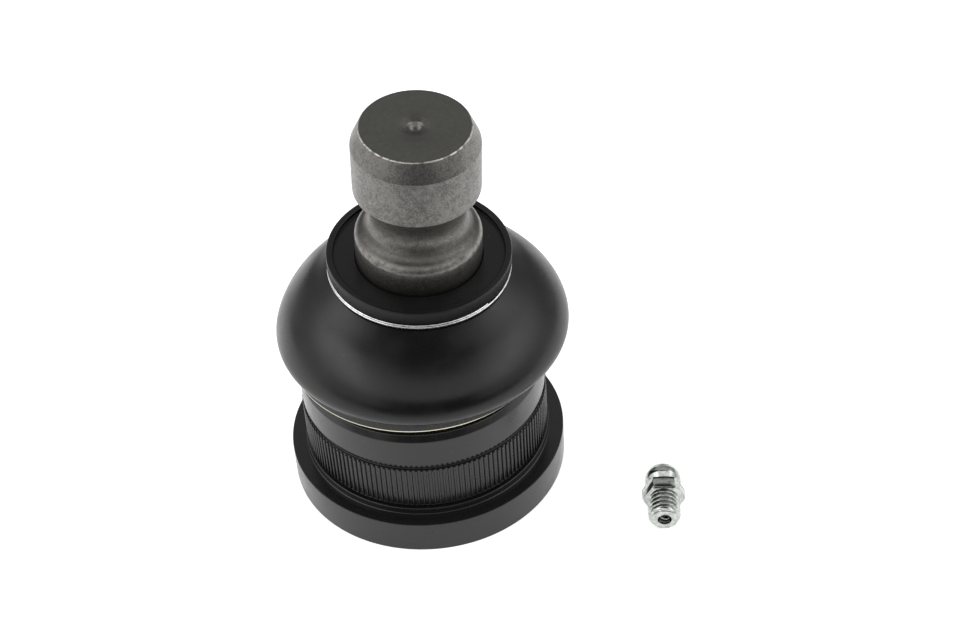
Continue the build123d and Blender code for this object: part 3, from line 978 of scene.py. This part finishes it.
class JOINT_OT_fitting(bpy.types.Operator):
    """Cut the grease fitting with its thread, hexagon and head"""

    bl_idname = "ball_joint.fitting"
    bl_label = "Grease fitting"

    def execute(self, context):
        sizes = context.scene.joint_fitting
        place = self.place(sizes)
        pieces = [self.threaded_end(sizes), self.hexagon(sizes), self.head(sizes)]
        piece = join(pieces, "grease_fitting")
        put(piece, place)
        tint = tuple_of(context.scene.joint_finish.zinc)
        zinc = plated_steel("fitting zinc plating", tint, 0.1, 0.26)
        finish(piece, zinc, "zinc_plate", "grease_fitting", "grease_fitting_body")
        return {"FINISHED"}

    def place(self, sizes):
        """The frame of the fitting: its axis lies flat, from the threaded end to the head."""
        reach = sizes.thread_length + sizes.hex_length + sizes.neck_length + sizes.head_length
        along = Vector((cos(sizes.heading), sin(sizes.heading), 0))
        start = self.thread_start(sizes, along, reach)
        across = Vector((0, 0, 1)).cross(along)
        return Matrix.Translation(start) @ Matrix((
            (0, across.x, along.x, 0),
            (0, across.y, along.y, 0),
            (1, across.z, along.z, 0),
            (0, 0, 0, 1),
        ))

    def thread_start(self, sizes, along, reach):
        """Centre of the threaded end, worked out from the check ball's place on the axis."""
        seat = reach - INLET_DEPTH
        distance = seat + sizes.inlet_radius - (CHECK_RADIUS + CLEARANCE) * sqrt(2)
        return CHECK_BALL - along * distance

    def threaded_end(self, sizes):
        """A thread cut into the shank, running out at both ends, and the crimped bore."""
        root = sizes.thread_radius - sizes.thread_depth
        rings = 88
        crimp_depth, end_chamfer = 0.5 * MM, 0.12 * MM
        run_out, run_in = 0.9 * MM, 0.5 * MM
        crest_width, crest_slope = 1.5, 4.2
        outline = [(sizes.bore_radius, sizes.thread_length), (sizes.bore_radius, crimp_depth)]
        outline += [(sizes.bore_radius + 0.05 * MM, 0.05 * MM), (sizes.bore_radius + 0.35 * MM, 0.0)]
        outline += [(root - 0.25 * MM, 0.0)]
        for ring in range(rings + 1):
            outline.append((root, end_chamfer + (sizes.thread_length - end_chamfer) * ring / rings))
        piece = turned("thread", outline, 72)
        for vertex in piece.data.vertices:
            radius = Vector(vertex.co.xy).length
            if radius < root - 0.01 * MM or vertex.co.z < 0.1 * MM:
                continue
            turn = atan2(vertex.co.y, vertex.co.x) / tau
            phase = (vertex.co.z / sizes.thread_pitch - turn) % 1.0
            crest = min(max(crest_width - abs(phase - 0.5) * crest_slope, 0.0), 1.0)
            fade = min(vertex.co.z / run_out, (sizes.thread_length - vertex.co.z) / run_in, 1.0)
            grown = 1 + crest * max(fade, 0.0) * sizes.thread_depth / root
            vertex.co.x *= grown
            vertex.co.y *= grown
        smooth(piece, 60)
        return piece

    def hexagon(self, sizes):
        """The hexagon, with its corners turned off at both ends."""
        low = sizes.thread_length
        high = low + sizes.hex_length
        tip = sizes.hex_width / sqrt(3)
        bpy.ops.object.select_all(action="DESELECT")
        bpy.ops.mesh.primitive_cylinder_add(
            vertices=6, radius=tip, depth=sizes.hex_length, location=(0, 0, (low + high) / 2)
        )
        piece = bpy.context.object
        piece.name = "hexagon"
        bpy.ops.object.transform_apply(location=True, rotation=True, scale=True)
        chamfer, beyond = 0.3 * MM, 1 * MM
        flat = tip - chamfer * 3.4
        outline = [
            (0, low - beyond),
            (flat, low - 0.5 * chamfer),
            (tip, low + chamfer),
            (tip, high - chamfer),
            (flat, high + 0.5 * chamfer),
            (0, high + beyond),
        ]
        combine(piece, turned("envelope", outline, 96), "INTERSECT")
        round_edges(piece, 0.07 * MM, 2, 30)
        smooth(piece, 30)
        return piece

    def head(self, sizes):
        """Neck and round head, with the inlet at its end."""
        overlap = 0.2 * MM
        low = sizes.thread_length + sizes.hex_length - overlap
        start = low + sizes.neck_length + overlap
        end = start + sizes.head_length
        throat, side_end, inlet_flare = 0.9 * MM, 2.3 * MM, 0.3 * MM
        dome_depth, dome_radius = 3.0 * MM, 3.3 * MM
        outline = [
            (sizes.inlet_radius, end - INLET_DEPTH),
            (sizes.inlet_radius, low),
            (sizes.neck_radius, low),
            (sizes.neck_radius, start),
            (sizes.head_radius, start + throat),
            (sizes.head_radius, end - side_end),
        ]
        outline += arc(0, end - dome_depth, dome_radius, 14, 66, 8)
        outline += [(sizes.inlet_radius + inlet_flare, end), (sizes.inlet_radius, end - 0.2 * MM)]
        piece = turned("head", outline, 72)
        round_edges(piece, 0.1 * MM, 2, 30)
        smooth(piece, 35)
        return piece


class JOINT_OT_spring(bpy.types.Operator):
    """Wind the check ball's spring, from the ball to its far end"""

    bl_idname = "ball_joint.spring"
    bl_label = "Check spring"

    def execute(self, context):
        sizes = context.scene.joint_fitting
        wire, radius = sizes.spring_wire, sizes.spring_radius
        along = Vector((cos(sizes.heading), sin(sizes.heading), 0))
        reach = sqrt(CHECK_RADIUS**2 - radius**2) + 2 * wire
        piece = coil("check_spring", radius, wire, sizes.spring_turns, reach, sizes.spring_length, steps=32)
        put(piece, Matrix.Translation(CHECK_BALL) @ along.to_track_quat("-Z", "Y").to_matrix().to_4x4())
        smooth(piece, 50)
        bright = plated_steel("check spring wire", (0.45, 0.45, 0.44), 0.2, 0.3)
        finish(piece, bright, "clip_wire", None, "grease_check_spring")
        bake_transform(piece)
        return {"FINISHED"}


class JOINT_OT_inner(bpy.types.Operator):
    """Give the inner pieces their finishes"""

    bl_idname = "ball_joint.inner"
    bl_label = "Inner pieces"

    def execute(self, context):
        finishes = {
            "cover_plate": plated_steel("cover pressed steel", (0.30, 0.30, 0.30), 0.35, 0.5),
            "spring_washer": plated_steel("washer spring steel", (0.36, 0.35, 0.34), 0.25, 0.4),
            "upper_seat_ring": plated_steel("seat sintered steel", (0.16, 0.155, 0.15), 0.45, 0.6),
            "lower_pressure_cup": plated_steel("cup sintered steel", (0.16, 0.155, 0.15), 0.45, 0.6),
            "grease_check_ball": plated_steel("check ball steel", (0.5, 0.5, 0.5), 0.1, 0.2),
        }
        for node, material in finishes.items():
            coat(frame["nodes"][node].data, material)
        return {"FINISHED"}


class JOINT_OT_stage(bpy.types.Operator):
    """Set the floor, the soft lamps and the camera"""

    bl_idname = "ball_joint.stage"
    bl_label = "Stage"

    def execute(self, context):
        self.floor()
        self.world(context.scene)
        self.lamp("top softbox", (0.0, 0.1, 0.75), 0.6, 2.0)
        self.lamp("left softbox", (-0.7, -0.25, 0.4), 0.6, 3.0)
        self.lamp("right softbox", (0.7, -0.1, 0.4), 0.6, 3.0)
        self.camera(context.scene)
        return {"FINISHED"}

    def floor(self):
        """A pale floor, white to the camera, which the pieces mirror only near by."""
        bpy.ops.object.select_all(action="DESELECT")
        bpy.ops.mesh.primitive_plane_add(size=6.0, location=(0, 0, 0))
        floor = bpy.context.object
        floor.name = "floor"
        material = bpy.data.materials.new("pale floor")
        material.use_nodes = True
        wiring = Wiring(material.node_tree)
        shader = wiring.nodes["Principled BSDF"]
        shader.inputs["Roughness"].default_value = 0.9
        shader.inputs["Specular IOR Level"].default_value = 0.0
        ray = wiring.nodes.new("ShaderNodeLightPath").outputs
        place = wiring.nodes.new("ShaderNodeTexCoord").outputs["Object"]
        near = wiring.spread(wiring.split(place)["Y"], -0.14, -0.075)
        mirrored = wiring.times(ray["Is Glossy Ray"], near)
        glow = wiring.math("ADD", ray["Is Camera Ray"], mirrored)
        far = wiring.math("SUBTRACT", ray["Is Glossy Ray"], mirrored)
        tone = wiring.mix(far, (0.8, 0.8, 0.8), (0.15, 0.15, 0.15))
        wiring.feed(shader.inputs["Base Color"], tone)
        shader.inputs["Emission Color"].default_value = (1, 1, 1, 1)
        wiring.feed(shader.inputs["Emission Strength"], wiring.times(glow, 0.62))
        floor.data.materials.append(material)

    def world(self, scene):
        """A white background, and for the pieces a dim ceiling between bright sides."""
        world = bpy.data.worlds.new("studio")
        scene.world = world
        world.use_nodes = True
        wiring = Wiring(world.node_tree)
        direction = wiring.nodes.new("ShaderNodeTexCoord").outputs["Generated"]
        across, ahead, up = wiring.split(direction)
        front_box = wiring.spread(up, 0.33, 0.47, 0.05, 1.3)
        left_box = wiring.spread(across, -0.68, -0.35, 3.0, 0.0)
        right_box = wiring.spread(across, 0.38, 0.68, 0.0, 2.6)
        sides = wiring.math("ADD", left_box, right_box)
        sides = wiring.times(sides, wiring.spread(up, 0.30, 0.70, 0.38, 1.1))
        ring = wiring.math("MAXIMUM", front_box, sides)
        lid = wiring.spread(up, 0.80, 0.94, 1.0, 0.02)
        behind = wiring.spread(ahead, 0.15, 0.60, 1.0, 0.40)
        glow = wiring.times(wiring.times(ring, lid), behind)
        ray = wiring.nodes.new("ShaderNodeLightPath").outputs
        soft_light, white = 0.42, 1.0
        mirrored = wiring.blend(ray["Is Glossy Ray"], soft_light, glow)
        background = wiring.nodes["Background"]
        background.inputs["Color"].default_value = (1, 1, 1, 1)
        seen = wiring.blend(ray["Is Camera Ray"], mirrored, white)
        wiring.feed(background.inputs["Strength"], seen)

    def lamp(self, name, place, size, power):
        """A square lamp that points at the joint and isn't mirrored in it."""
        light = bpy.data.lights.new(name, "AREA")
        light.shape = "SQUARE"
        light.size = size
        light.energy = power
        lamp = bpy.data.objects.new(name, light)
        bpy.context.collection.objects.link(lamp)
        lamp.location = place
        lamp.visible_glossy = False
        aim = Vector((0, 0, 0.03)) - Vector(place)
        lamp.rotation_euler = aim.to_track_quat("-Z", "Y").to_euler()

    def camera(self, scene):
        """The camera looks down at the joint, rolled a little."""
        data = bpy.data.cameras.new("camera")
        data.lens = 75.0
        data.sensor_width = 36.0
        data.clip_start = 0.01
        camera = bpy.data.objects.new("camera", data)
        bpy.context.collection.objects.link(camera)
        place = (0.0, -0.27197, 0.28125)
        aside, down, roll = radians(2.411), radians(42.430), radians(-4.037)
        camera.matrix_world = (
            Matrix.Translation(place)
            @ Matrix.Rotation(-aside, 4, "Z")
            @ Matrix.Rotation(pi / 2 - down, 4, "X")
            @ Matrix.Rotation(roll, 4, "Z")
        )
        scene.camera = camera
        scene.view_settings.view_transform = "Standard"


class JOINT_PT_panel(bpy.types.Panel):
    """Settings and pieces of the ball joint"""

    bl_idname = "JOINT_PT_panel"
    bl_label = "Ball Joint"
    bl_space_type = "VIEW_3D"
    bl_region_type = "UI"
    bl_category = "Ball Joint"

    def draw(self, context):
        for group in SETTINGS:
            settings = getattr(context.scene, group)
            box = self.layout.box()
            for name in settings.bl_rna.properties.keys():
                if name not in ("rna_type", "name"):
                    box.prop(settings, name)
        for operator in PIECES:
            self.layout.operator(operator.bl_idname)


PIECES = (
    JOINT_OT_housing,
    JOINT_OT_ring,
    JOINT_OT_boot,
    JOINT_OT_clip,
    JOINT_OT_stud,
    JOINT_OT_fitting,
    JOINT_OT_spring,
    JOINT_OT_inner,
    JOINT_OT_stage,
)


def register():
    """Make the settings, operators and panel known to Blender."""
    for name, group in SETTINGS.items():
        bpy.utils.register_class(group)
        setattr(bpy.types.Scene, name, bpy.props.PointerProperty(type=group))
    for operator in PIECES:
        bpy.utils.register_class(operator)
    bpy.utils.register_class(JOINT_PT_panel)


def unregister():
    """Take them away again."""
    bpy.utils.unregister_class(JOINT_PT_panel)
    for operator in reversed(PIECES):
        bpy.utils.unregister_class(operator)
    for name, group in SETTINGS.items():
        delattr(bpy.types.Scene, name)
        bpy.utils.unregister_class(group)


def main():
    """Build every piece and the stage."""
    register()
    for operator in PIECES:
        group, call = operator.bl_idname.split(".")
        getattr(getattr(bpy.ops, group), call)()


if __name__ == "__main__":
    main()
